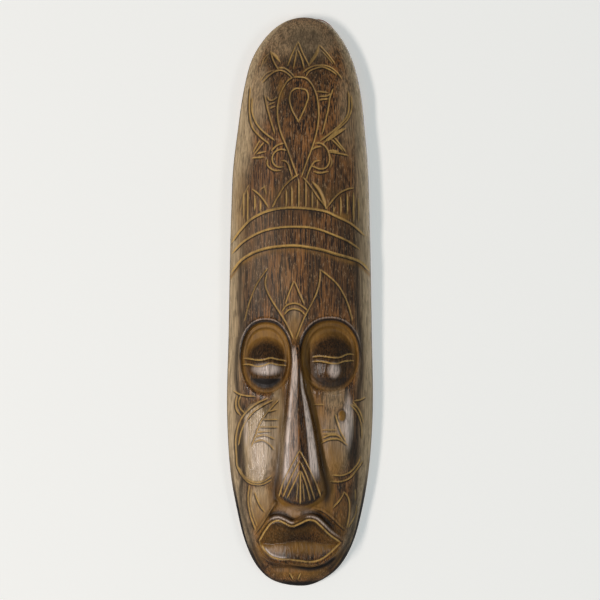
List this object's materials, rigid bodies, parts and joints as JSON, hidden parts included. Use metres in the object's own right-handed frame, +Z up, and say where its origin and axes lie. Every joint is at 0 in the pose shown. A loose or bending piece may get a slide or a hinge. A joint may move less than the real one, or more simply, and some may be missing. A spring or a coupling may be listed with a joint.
{
  "type": "carved wooden wall mask",
  "caption": "Tall narrow carved wooden face mask with a hollow back, a long patterned forehead, closed bulging eyes, a wedge nose and full lips, hung on a swinging wire loop.",
  "frame": {"origin": "where a wall nail bears on the wire loop, on the mask's middle line", "axes": "+Z up with the mask hanging plumb, the face looks along -Y, +X is to the right of someone facing the mask, the back rim lies on the +Y side"},
  "size_m": [0.1286, 0.0531, 0.5],
  "materials": {
    "carved_wood": "dark stained and varnished, semi-gloss",
    "hanging_wire": "dull annealed wire",
    "screw_eye_steel": "plated"
  },
  "bodies": {
    "mask": {"mask_body": "carved_wood", "screw_eye_left": "screw_eye_steel", "screw_eye_right": "screw_eye_steel"},
    "hanger": {"hanger_wire": "hanging_wire"}
  },
  "joints": [
    {"name": "hanger_swing", "type": "hinge", "parent": "mask", "child": "hanger", "pos_m": [0, 0, -0.0545], "axis": [-1, 0, 0], "range_deg": [0, 150]}
  ]
}
